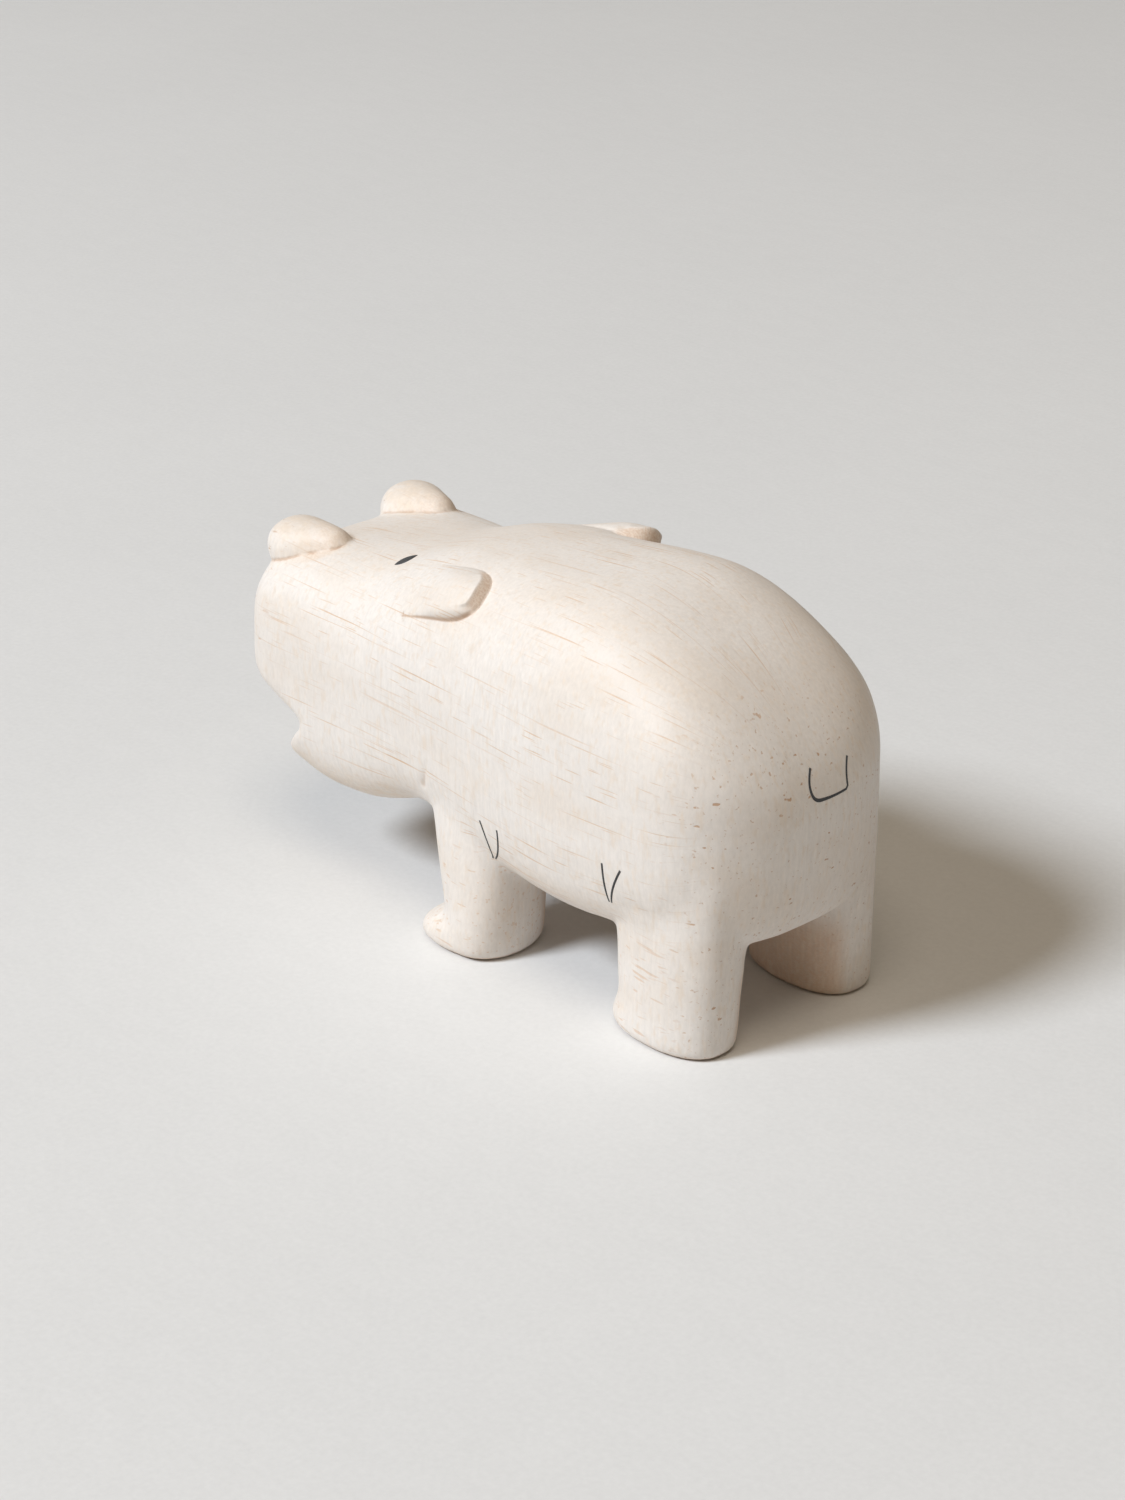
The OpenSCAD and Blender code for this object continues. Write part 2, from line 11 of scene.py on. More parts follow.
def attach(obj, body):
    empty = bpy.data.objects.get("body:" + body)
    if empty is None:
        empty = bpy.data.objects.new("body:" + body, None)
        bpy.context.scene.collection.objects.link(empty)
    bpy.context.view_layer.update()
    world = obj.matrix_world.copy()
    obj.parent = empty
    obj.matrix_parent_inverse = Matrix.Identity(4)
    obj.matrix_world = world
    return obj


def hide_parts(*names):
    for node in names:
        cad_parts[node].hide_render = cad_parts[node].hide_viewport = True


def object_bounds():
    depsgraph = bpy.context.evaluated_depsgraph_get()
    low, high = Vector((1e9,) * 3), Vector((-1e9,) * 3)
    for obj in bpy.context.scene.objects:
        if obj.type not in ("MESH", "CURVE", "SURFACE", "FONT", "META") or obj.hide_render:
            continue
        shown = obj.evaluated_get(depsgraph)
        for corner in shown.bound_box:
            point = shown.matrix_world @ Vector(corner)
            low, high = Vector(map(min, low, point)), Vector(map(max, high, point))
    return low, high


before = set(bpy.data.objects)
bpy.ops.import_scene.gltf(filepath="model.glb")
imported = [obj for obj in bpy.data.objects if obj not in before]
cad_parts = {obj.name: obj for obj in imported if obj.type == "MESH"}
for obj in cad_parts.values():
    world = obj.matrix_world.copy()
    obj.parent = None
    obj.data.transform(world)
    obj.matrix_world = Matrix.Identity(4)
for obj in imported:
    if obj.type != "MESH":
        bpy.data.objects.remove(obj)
cad_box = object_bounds()

MM = 0.001
scene = bpy.context.scene

# The carved body is a fine skin over the CAD solid. Its sizes and places are in millimetres, with x to the
# rump, y to the right side and z up. A pair named SPAN gives where an effect is none and where it is full.
# FACING, INWARD and DOWNWARD spans are parts of a normal, and ZONE, KNOB, CUT and WEAR spans have no unit
VOXEL = 0.6
WELD = 0.002

# How a blur works: the share of each step, and the steps for sanding, light sanding, fillets and weights
BLUR_SHARE = 0.5
SAND_STEPS = 28
FINE_STEPS = 2
FILLET_STEPS = 104
EVEN_STEPS = 8

# How far apart two noise fields are taken whose seeds differ by 1
FIELD_SHIFT = (11.3, 47.1, 83.9)

# Sharp edges of the solid: their least turn in degrees, and the distance between samples on them
SHARP_TURN = 28
EDGE_STEP = 0.3

# Where the edges lie that sanding spares: around the knobs, around the soles and at the corners of the legs.
# CROTCH_SLANT is the least part of a corner's direction that runs across the body
KNOB_REAR = -34
KNOB_FOOT = 42
SOLE_EDGE = 1.2
CROTCH_FRONT = -16
CROTCH_LOW = 8
CROTCH_HIGH = 26
CROTCH_SLANT = 0.25
JAW_CORNER_FRONT = -14
JAW_CORNER_REAR = -3
JAW_CORNER_LOW = 18

# How far from such an edge sanding starts, and the share of it that is left on the edge itself
KEEP_SPAN = (1.1, 3.0)
KNOB_SANDING = 0
SOLE_SANDING = 0.7
CROTCH_SANDING = 0.1

# The front toes, which are sanded less
TOE_SANDING = 0.3
TOE_SPAN = (0, -3)
TOE_TOP_SPAN = (9, 7)
TOE_FOOT_SPAN = (1.0, 2.5)

# The fillets where the legs run into the flanks and the rump
FILLET_FACING_SPAN = (0.3, 0.8)
FILLET_RUMP_SPAN = (38, 42)
FILLET_FRONT_SPAN = (-7, -1)
FILLET_TOP_SPAN = (34, 26)
FILLET_FOOT_SPAN = (1.5, 6)
FILLET_CROTCH_SPAN = (1.2, 4.5)

# An ear: a leaf that rises from the head towards its cut rear end. Sides are -1 for left and 1 for right
EAR_PLACE = (-5.6, 15.3, 52.7)
EAR_SETBACKS = {-1: 0.0, 1: 1.8}
EAR_HEIGHTS = {-1: 1.7, 1: 2.4}
EAR_TILT = math.radians(45)
EAR_RISE = math.radians(9)
EAR_FORE = 9.2
EAR_CREST = 3.0
EAR_BACK = 6.6
EAR_HALF_WIDTH = 4.4
EAR_SQUARENESS = 2.5
EAR_WALL = 0.55
EAR_ROLL = 1.4
EAR_FADE = 2.4
EAR_REAR_SPAN = (2.0, 4.5)
EAR_REAR_LOW_SPAN = (-3.4, -1.8)
EAR_TOP_SPAN = (0.0, 3.0)
EAR_SLOPE_SPAN = (0.0, 5.0)
EAR_SLOPE = 0.45
EAR_ARCH = 0.45
HOLLOW_DEPTH = 0.35
HOLLOW_REACH = 2.0

# The raw wood on an ear's rear wall, and a painted shadow line in the crease under its lower edge, in the
# colour of cut wood
RAW_FOOT_SPAN = (-0.12, 0.02)
RAW_TOP_SPAN = (EAR_WALL + 0.05, EAR_WALL - 0.2)
UNDER_SHADOW_SPAN = (-1.5, -3.0)
UNDER_SHADOW_START_SPAN = (-EAR_FORE, -EAR_FORE + 0.6)
UNDER_SHADOW_WIDTH = 0.14

# The oval zone of an ear: its half axes, how far it lies ahead of the ear's middle, and shares of its reach
EAR_ZONE = (10.5, 7.5)
EAR_ZONE_LEAD = 1
ZONE_FINE = 0.95
ZONE_CARVED = 1.15
ZONE_SPAN = (1.2, 0.95)
RING_INNER = 1.0
RING_OUTER = 1.5
EAR_EDGE_FINE = 0.8

# The head under an ear is a smooth surface of this order, fitted to the ring around the ear
HEAD_ORDER = 4
HEAD_SCALE = 10

# Cut lines: the end where it runs out, the other end, width, depth, darkness and the sides that have it.
# A groove parts the jaw from each front leg, and a knife slipped twice at the root of the left ear
CUTS = (
    ((-4.8, 20.7, 29.8), (-7.4, 19.9, 23.3), 0.45, 0.35, 0.45, (-1, 1)),
    ((-12.1, 18.9, 45.6), (-13.6, 17.8, 47.8), 0.15, 0.15, 0.8, (-1,)),
    ((-14.2, 17.3, 48.6), (-13.2, 18.0, 47.5), 0.15, 0.15, 0.8, (-1,)),
)
CUT_REACH = 0.5
CUT_END_SPAN = (0.0, 0.8)
CUT_DARK_SPAN = (0.3, 1.0)

# The crease around a nostril knob, worn in places, and the knob's own wood
CREASE_WIDTH = 0.24
CREASE_STAIN = 0.2
CREASE_DEPTH = 0.16
CREASE_LEAST = 0.4
CREASE_DARKNESS = 0.8
CREASE_REACH = 0.75
CREASE_STEP = 0.04
WEAR_CELL = 2.6
WEAR_SEED = 5
WEAR_SPAN = (-0.3, 0.3)
MUZZLE_REAR = -30
MUZZLE_FOOT = 38
KNOB_SPAN = (1.08, 0.9)
KNOB_REAR_SPAN = (-0.1, 0.8)
KNOB_RAW = 0.45

# Lumps that the knife left all over: height, distance and seed
LUMPS = ((0.10, 11.0, 1), (0.05, 5.0, 2))
LUMP_FOOT_SPAN = (1.0, 5.0)

# Where bare wood shows, darkened as painted shade, on the inner and lower sides of the feet, and a warm
# painted shade under the jaw
JAW_SPAN = (-12, -18)
JAW_FACING_SPAN = (0.1, 0.7)
JAW_TOP = 24
BARE_AND_SHADE_SPAN = (15, 9)
BARE_AND_SHADE_INWARD_SPAN = (0.2, 0.8)
BARE_AND_SHADE_DOWNWARD_SPAN = (0.5, 0.9)

# Ink lies this far over the wood and reaches this far into it
INK_OVER = 0.035
INK_UNDER = 0.03

# The grain runs around a line at this height, its pores are dots on the two ends and nicks on the legs
AXIS_HEIGHT = 36
END_SPAN = (38, 48)
LEG_SPAN = (21, 14)

# How strongly pores, raw wood, cuts with the painted shadow under the ears, and bumps show
PORE_STRENGTH = 0.95
RAW_STRENGTH = 0.9
CUT_AND_SHADOW_STRENGTH = 0.75
BUMP_STRENGTH = 0.45
BUMP_DEPTH = 0.05

# Relief of the paint against the depth of a pore
STROKE_RELIEF = 0.5
MOTTLE_RELIEF = 0.5

# Colours
WASH = (0.768, 0.703, 0.640, 1)
WASH_PALE = (0.792, 0.738, 0.685, 1)
WASH_THIN = (0.742, 0.655, 0.570, 1)
PORE = (0.640, 0.420, 0.255, 1)
END_PORE = (0.520, 0.330, 0.210, 1)
RAW_WOOD = (0.660, 0.490, 0.370, 1)
RAW_WOOD_PALE = (0.770, 0.640, 0.530, 1)
# Warmer wood on the knobs, and the warm painted shade under the jaw
WARM_WOOD_AND_SHADE = (0.750, 0.630, 0.510, 1)
# Bare wood, darkened as painted shade on hidden sides of the legs
BARE_WOOD_AND_SHADE = (0.670, 0.480, 0.345, 1)
# Cut wood, also the colour of the painted shadow under the ears
CUT_WOOD_AND_SHADOW = (0.470, 0.280, 0.160, 1)
FLECK = (0.745, 0.625, 0.505, 1)
INK = (0.019, 0.019, 0.020, 1)
INK_WORN = (0.050, 0.049, 0.050, 1)
PAPER = (0.718, 0.718, 0.713, 1)
PAPER_PALE = (0.748, 0.748, 0.743, 1)
SKY = (1.0, 0.79, 0.53, 1)
BACKDROP = (0.66, 0.66, 0.65, 1)

# Stage, light and camera. Their lengths are in metres, and a lamp's power is in watts
FLOOR_REACH = 3.0
LAMP_DISTANCE = 3.0
LAMPS = {
    "key": {
        "direction": (-0.232, -0.674, 0.702),
        "size": 0.9,
        "power": 89,
        "colour": (0.870, 0.928, 1.0),
    },
    "fill": {
        "direction": (0.25, -0.22, 0.94),
        "size": 1.6,
        "power": 24,
        "colour": (1.0, 0.87, 0.71),
    },
}
SKY_STRENGTH = 0.11
CAMERA_PLACE = (0.3155, -0.2853, 0.2274)
CAMERA_LOOK = (-0.6695, 0.6063, -0.4292)
CAMERA_CLIP = 0.01

# The camera's sensor and lens, in millimetres
CAMERA_SENSOR = 36
CAMERA_LENS = 78


def seeded(cell, offset):
    """A smooth field over space with features about cell millimetres across, from -1 to 1."""

    def field(points):
        shift = np.array(FIELD_SHIFT) * offset
        return np.array([noise.noise(Vector(p)) for p in points / cell + shift])

    return field


def ramp(x, low, high):
    """0 at low, 1 at high, and smooth between."""
    t = np.clip((x - low) / (high - low), 0.0, 1.0)
    return t * t * (3 - 2 * t)


def link(name, data):
    piece = bpy.data.objects.new(name, data)
    scene.collection.objects.link(piece)
    return piece


def welded(mesh):
    """The mesh as a bmesh whose faces share their corners."""
    bm = bmesh.new()
    bm.from_mesh(mesh)
    bmesh.ops.remove_doubles(bm, verts=bm.verts, dist=WELD * MM)
    bm.normal_update()
    return bm


def points_of(mesh):
    co = np.empty(len(mesh.vertices) * 3, np.float32)
    mesh.vertices.foreach_get("co", co)
    return co.reshape(-1, 3).astype(float) / MM


def set_points(mesh, points):
    mesh.vertices.foreach_set("co", (points * MM).astype(np.float32).ravel())
    mesh.update()


def normals_of(mesh):
    out = np.empty(len(mesh.vertices) * 3, np.float32)
    mesh.vertex_normals.foreach_get("vector", out)
    return out.reshape(-1, 3).astype(float)


def edges_of(mesh):
    out = np.empty(len(mesh.edges) * 2, np.int32)
    mesh.edges.foreach_get("vertices", out)
    return out.reshape(-1, 2)


def paint(mesh, name, values):
    layer = mesh.attributes.new(name, "FLOAT", "POINT")
    layer.data.foreach_set("value", np.clip(values, 0, 1).astype(np.float32))


def blurred(values, edges, steps):
    """Each value drawn towards the mean of its neighbours, again and again."""
    a, b = edges[:, 0], edges[:, 1]
    count = len(values)
    neighbours = np.bincount(a, minlength=count) + np.bincount(b, minlength=count)
    values = values.copy()
    for _ in range(steps):
        for k in range(values.shape[1]):
            v = values[:, k]
            total = np.bincount(a, v[b], count) + np.bincount(b, v[a], count)
            values[:, k] = v + BLUR_SHARE * (total / neighbours - v)
    return values


def edge_samples(bm, wanted, step=EDGE_STEP):
    """Points along the edges that wanted(edge middle, edge direction, turn in degrees) picks."""
    out = []
    for edge in bm.edges:
        if len(edge.link_faces) != 2:
            continue
        a, b = (np.array(v.co) / MM for v in edge.verts)
        length = np.linalg.norm(b - a)
        if wanted((a + b) / 2, (b - a) / length, math.degrees(edge.calc_face_angle(0.0))):
            for t in np.linspace(0, 1, max(2, int(length / step) + 1)):
                out.append(a + t * (b - a))
    return np.array(out).reshape(-1, 3)


def distance_to(samples, points):
    tree = KDTree(len(samples))
    for i, p in enumerate(samples):
        tree.insert(p, i)
    tree.balance()
    return np.array([tree.find(p)[2] for p in points])


def surface_of(mesh):
    bm = bmesh.new()
    bm.from_mesh(mesh)
    tree = BVHTree.FromBMesh(bm)
    bm.free()
    return tree


def laid_on(mesh, points):
    """Each point moved to the nearest spot of the mesh."""
    surface = surface_of(mesh)
    return np.array([surface.find_nearest(Vector(p * MM))[0] for p in points]) / MM


def is_knob_edge(p, along, turn):
    return turn > SHARP_TURN and p[0] < KNOB_REAR and p[2] > KNOB_FOOT


def is_sole_edge(p, along, turn):
    return turn > SHARP_TURN and p[2] < SOLE_EDGE


def is_crotch_edge(p, along, turn):
    """The corners before and behind a leg, under the belly, and the one between a leg and the jaw."""
    if turn <= SHARP_TURN or p[0] <= CROTCH_FRONT or not CROTCH_LOW < p[2] < CROTCH_HIGH:
        return False
    at_jaw = JAW_CORNER_FRONT < p[0] < JAW_CORNER_REAR and p[2] > JAW_CORNER_LOW
    return at_jaw or abs(along[1]) > CROTCH_SLANT


KEPT_EDGES = (
    (is_knob_edge, KNOB_SANDING),
    (is_sole_edge, SOLE_SANDING),
    (is_crotch_edge, CROTCH_SANDING),
)


class Ear:
    """An ear's own directions: along to the rear, across to the top of the head, and out."""

    def __init__(self, side):
        place, out, up = EAR_PLACE
        self.middle = np.array((place + EAR_SETBACKS[side], side * out, up))
        self.height = EAR_HEIGHTS[side]
        level = np.array((1, 0, 0))
        upward = np.array((0, -side * math.cos(EAR_TILT), math.sin(EAR_TILT)))
        outward = np.array((0, side * math.sin(EAR_TILT), math.cos(EAR_TILT)))
        along = level * math.cos(EAR_RISE) + upward * math.sin(EAR_RISE)
        across = upward * math.cos(EAR_RISE) - level * math.sin(EAR_RISE)
        self.axes = np.array((along, across, outward))

    def local(self, points):
        return (points - self.middle) @ self.axes.T

    def zone(self, points):
        """Below 1 on the ear and its surroundings."""
        along, across, out = self.local(points).T
        away = np.hypot((along + EAR_ZONE_LEAD) / EAR_ZONE[0], across / EAR_ZONE[1])
        return np.where(np.abs(out) < EAR_ZONE[1], away, np.inf)

    def inset(self, points):
        """Distance from the ear's edge, positive on the ear."""
        along, across, _ = self.local(points).T
        back = np.maximum(along, 0) / EAR_BACK
        wide = np.abs(across) / EAR_HALF_WIDTH
        return EAR_HALF_WIDTH * (1 - (back**EAR_SQUARENESS + wide**EAR_SQUARENESS) ** (1 / EAR_SQUARENESS))

    def moved(self, points, distance):
        """The points moved out of the head."""
        return points + distance[:, None] * self.axes[2]


EARS = [Ear(side) for side in (-1, 1)]


def head_under(ear, points):
    """The head's surface as it would run without the ear: how far out it lies from each point."""
    along, across, out = ear.local(points).T
    away = ear.zone(points)
    ring = (away > RING_INNER) & (away < RING_OUTER)
    powers = [(i, j) for i in range(HEAD_ORDER + 1) for j in range(HEAD_ORDER + 1 - i)]
    terms = np.stack([(along / HEAD_SCALE) ** i * (across / HEAD_SCALE) ** j for i, j in powers], 1)
    shape = np.linalg.lstsq(terms[ring], out[ring], rcond=None)[0]
    return ramp(away, *ZONE_SPAN) * np.where(away < ZONE_SPAN[0], terms @ shape - out, 0)


def carve_ear(ear, points, marks):
    points = ear.moved(points, head_under(ear, points))
    along, across, _ = ear.local(points).T
    inset = ear.inset(points)
    rear = ramp(along, *EAR_REAR_SPAN) * ramp(across, *EAR_REAR_LOW_SPAN)
    top = ramp(across, *EAR_TOP_SPAN) * (1 - rear)
    width = EAR_WALL * rear + (1 - rear) * (EAR_ROLL + top * (EAR_FADE - EAR_ROLL))
    share = np.clip(inset / width, 0, 1)
    rolled = np.sqrt(1 - (1 - share) ** 2)
    profile = rolled + rear * (share - rolled)
    height = ear.height * ramp(along, -EAR_FORE, EAR_CREST) * (1 - EAR_SLOPE * ramp(across, *EAR_SLOPE_SPAN))
    height = height * (1 - EAR_ARCH * rear * (across / EAR_HALF_WIDTH) ** 2)
    hollow = HOLLOW_DEPTH * rear * np.exp(np.minimum(inset, 0) / HOLLOW_REACH) * (inset < 0)
    on_head = ear.zone(points) < ZONE_CARVED
    points = ear.moved(points, np.where(on_head, height * profile - hollow, 0))

    wall = rear * ramp(inset, *RAW_FOOT_SPAN) * ramp(inset, *RAW_TOP_SPAN)
    # Painted shadow: a dark line in the crease under the ear's lower edge
    under = (1 - rear) * ramp(across, *UNDER_SHADOW_SPAN) * ramp(along, *UNDER_SHADOW_START_SPAN)
    shadow_line = under * np.exp(-((inset / UNDER_SHADOW_WIDTH) ** 2))
    marks["raw"] = np.maximum(marks["raw"], np.where(on_head, wall, 0))
    marks["line"] = np.maximum(marks["line"], np.where(on_head, shadow_line, 0))
    return points


def along_cut(points, start, end, side):
    """How far along a cut line each point lies, from 0 to 1, and its distance from the line."""
    start, end = (np.array((x, side * y, z)) for x, y, z in (start, end))
    t = np.clip((points - start) @ (end - start) / np.sum((end - start) ** 2), 0, 1)
    return t, np.linalg.norm(points - start - t[:, None] * (end - start), axis=1)


def at_cut(points):
    picked = np.zeros(len(points), bool)
    for start, end, _, _, _, sides in CUTS:
        for side in sides:
            picked |= along_cut(points, start, end, side)[1] < CUT_REACH
    return picked


def cut_lines(points, normals, marks):
    for start, end, width, depth, darkness, sides in CUTS:
        for side in sides:
            t, away = along_cut(points, start, end, side)
            cut = np.exp(-((away / width) ** 2)) * ramp(t, *CUT_END_SPAN)
            points = points - normals * (depth * cut)[:, None]
            marks["line"] = np.maximum(marks["line"], darkness * ramp(cut, *CUT_DARK_SPAN))
    return points


def on_muzzle(points):
    return (points[:, 0] < MUZZLE_REAR) & (points[:, 2] > MUZZLE_FOOT)


def crease_knobs(creases, points, normals, marks):
    """A cut line around each nostril knob, and warmer wood on the knob."""
    front = np.flatnonzero(on_muzzle(points))
    away = distance_to(creases, points[front])
    near = np.exp(-((away / CREASE_WIDTH) ** 2))
    worn = ramp(seeded(WEAR_CELL, WEAR_SEED)(points[front]), *WEAR_SPAN)
    depth = CREASE_DEPTH * near * (CREASE_LEAST + (1 - CREASE_LEAST) * worn)
    points = points.copy()
    points[front] -= normals[front] * depth[:, None]
    stain = CREASE_DARKNESS * np.exp(-((away / CREASE_STAIN) ** 2)) * worn
    marks["line"][front] = np.maximum(marks["line"][front], stain)
    for side in (-1, 1):
        loop = creases[creases[:, 1] * side > 0]
        middle = (loop.max(0) + loop.min(0)) / 2
        half = (loop.max(0) - loop.min(0)) / 2
        inside = np.linalg.norm(((points - middle) / half)[:, :2], axis=1)
        knob = ramp(inside, *KNOB_SPAN) * (points[:, 2] > MUZZLE_FOOT)
        marks["warm"] = np.maximum(marks["warm"], knob)
        rear = knob * ramp((points - middle)[:, 0] / half[0], *KNOB_REAR_SPAN)
        marks["raw"] = np.maximum(marks["raw"], KNOB_RAW * rear)
    return points


def refine(mesh, wanted):
    """Splits the edges whose middle wanted(points) picks, and the faces beside them."""
    bm = bmesh.new()
    bm.from_mesh(mesh)
    bm.edges.ensure_lookup_table()
    middles = np.array([(e.verts[0].co + e.verts[1].co) / 2 for e in bm.edges]) / MM
    picked = [bm.edges[i] for i in np.flatnonzero(wanted(middles))]
    bmesh.ops.subdivide_edges(bm, edges=picked, cuts=1, use_grid_fill=True)
    bm.to_mesh(mesh)
    bm.free()


def remeshed(solid):
    """An even skin of small faces around the solid."""
    rough = bpy.data.meshes.new("rough")
    solid.to_mesh(rough)
    block = link("block", rough)
    skin = block.modifiers.new("skin", "REMESH")
    skin.mode = "VOXEL"
    skin.voxel_size = VOXEL * MM
    graph = bpy.context.evaluated_depsgraph_get()
    mesh = bpy.data.meshes.new_from_object(block.evaluated_get(graph))
    bpy.data.objects.remove(block)
    mesh.name = "carved_wood"
    return mesh


def sand(mesh, solid):
    """Sands the skin smooth, but keeps the carved edges."""
    points = points_of(mesh)
    edges = edges_of(mesh)
    weight = np.ones(len(points))
    for wanted, least in KEPT_EDGES:
        away = distance_to(edge_samples(solid, wanted), points)
        weight = weight * (least + (1 - least) * ramp(away, *KEEP_SPAN))
    front_toe = ramp(points[:, 0], *TOE_SPAN) * ramp(points[:, 2], *TOE_TOP_SPAN)
    front_toe = front_toe * ramp(points[:, 2], *TOE_FOOT_SPAN)
    weight = weight * (1 - (1 - TOE_SANDING) * front_toe)
    weight = blurred(weight[:, None], edges, EVEN_STEPS)

    # The second blur gives back what the first one took off the broad forms
    sanded = blurred(points, edges, SAND_STEPS)
    sanded = sanded + blurred(points - sanded, edges, SAND_STEPS)
    fine = blurred(points, edges, FINE_STEPS)
    set_points(mesh, fine + weight * (sanded - fine))


def fill_corners(mesh, solid):
    """Fills the corners where the legs run into the flanks and the rump."""
    points = points_of(mesh)
    normals = normals_of(mesh)
    edges = edges_of(mesh)
    filled = blurred(points, edges, FILLET_STEPS)
    sideways = ramp(normals[:, 1] * np.sign(points[:, 1]), *FILLET_FACING_SPAN)
    rearward = ramp(normals[:, 0], *FILLET_FACING_SPAN) * ramp(points[:, 0], *FILLET_RUMP_SPAN)
    facing = np.maximum(sideways, rearward)
    out = np.maximum(np.sum((filled - points) * normals, 1), 0) * facing
    low = ramp(points[:, 2], *FILLET_TOP_SPAN) * ramp(points[:, 0], *FILLET_FRONT_SPAN)
    low = low * ramp(points[:, 2], *FILLET_FOOT_SPAN)
    away = distance_to(edge_samples(solid, is_crotch_edge), points)
    share = blurred((low * ramp(away, *FILLET_CROTCH_SPAN))[:, None], edges, EVEN_STEPS)
    set_points(mesh, points + normals * out[:, None] * share)


def refine_carving(mesh, creases):
    """Gives the skin small faces wherever something is carved."""

    def at_crease(points):
        picked = on_muzzle(points)
        picked[picked] = distance_to(creases, points[picked]) < CREASE_REACH
        return picked

    for ear in EARS:
        points = points_of(mesh)
        set_points(mesh, ear.moved(points, head_under(ear, points)))
        refine(mesh, lambda p: ear.zone(p) < ZONE_FINE)
        refine(mesh, lambda p: (ear.zone(p) < ZONE_FINE) & (np.abs(ear.inset(p)) < EAR_EDGE_FINE))
    for wanted in (at_crease, at_crease, at_cut):
        refine(mesh, wanted)


def build_body():
    solid = welded(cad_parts["carved_body"].data)
    mesh = remeshed(solid)
    sand(mesh, solid)
    fill_corners(mesh, solid)
    creases = laid_on(mesh, edge_samples(solid, is_knob_edge, CREASE_STEP))
    solid.free()
    refine_carving(mesh, creases)

    points = points_of(mesh)
    marks = {name: np.zeros(len(points)) for name in ("raw", "line", "warm")}
    points = cut_lines(points, normals_of(mesh), marks)
    points = crease_knobs(creases, points, normals_of(mesh), marks)
    for ear in EARS:
        points = carve_ear(ear, points, marks)
    set_points(mesh, points)

    normals = normals_of(mesh)
    lumps = sum(height * seeded(cell, seed)(points) for height, cell, seed in LUMPS)
    points = points + normals * (lumps * ramp(points[:, 2], *LUMP_FOOT_SPAN))[:, None]
    low, high = (np.array(c) / MM for c in cad_box)
    points = np.clip(points, low, high)
    set_points(mesh, points)

    downward = -normals[:, 2]
    inward = -normals[:, 1] * np.sign(points[:, 1])
    # Painted shade: the downward faces under the jaw take a warm tone
    shaded_under_jaw = ramp(points[:, 0], *JAW_SPAN) * ramp(downward, *JAW_FACING_SPAN) * (points[:, 2] < JAW_TOP)
    marks["warm"] = np.maximum(marks["warm"], shaded_under_jaw)
    # Bare wood on the inner and lower sides of the feet, darkened there as painted shade
    hidden = np.maximum(ramp(inward, *BARE_AND_SHADE_INWARD_SPAN), ramp(downward, *BARE_AND_SHADE_DOWNWARD_SPAN))
    marks["bare_and_shade"] = ramp(points[:, 2], *BARE_AND_SHADE_SPAN) * hidden
    for name, values in marks.items():
        paint(mesh, name, values)
    mesh.shade_smooth()
    return mesh


wood_mesh = build_body()
body = link("carved_wood", wood_mesh)

# Ink: each drawn mark follows the sanded surface
INK_NODES = sorted(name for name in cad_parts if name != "carved_body")
cad_solid = welded(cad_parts["carved_body"].data)
cad_surface = BVHTree.FromBMesh(cad_solid)
wood_surface = surface_of(wood_mesh)


def build_ink(node):
    """The node's film with its outer face just over the wood and its inner face just under it."""
    bm = welded(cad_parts[node].data)
    clear = np.array([cad_surface.find_nearest(v.co)[3] for v in bm.verts])
    middle = (clear.min() + clear.max()) / 2
    for v, is_outer in zip(bm.verts, clear > middle):
        spot, normal, _, _ = wood_surface.find_nearest(v.co)
        v.co = spot + normal * (INK_OVER if is_outer else -INK_UNDER) * MM
    mesh = bpy.data.meshes.new("ink_" + node)
    bm.to_mesh(mesh)
    bm.free()
    mesh.shade_smooth()
    return link("ink_" + node, mesh)


ink_pieces = {node: build_ink(node) for node in INK_NODES}
cad_solid.free()


# Materials. A Mix node keeps the sockets for its factor and its two colours at these places
MIX_INPUTS = (0, 6, 7)
MIX_OUTPUT = 2


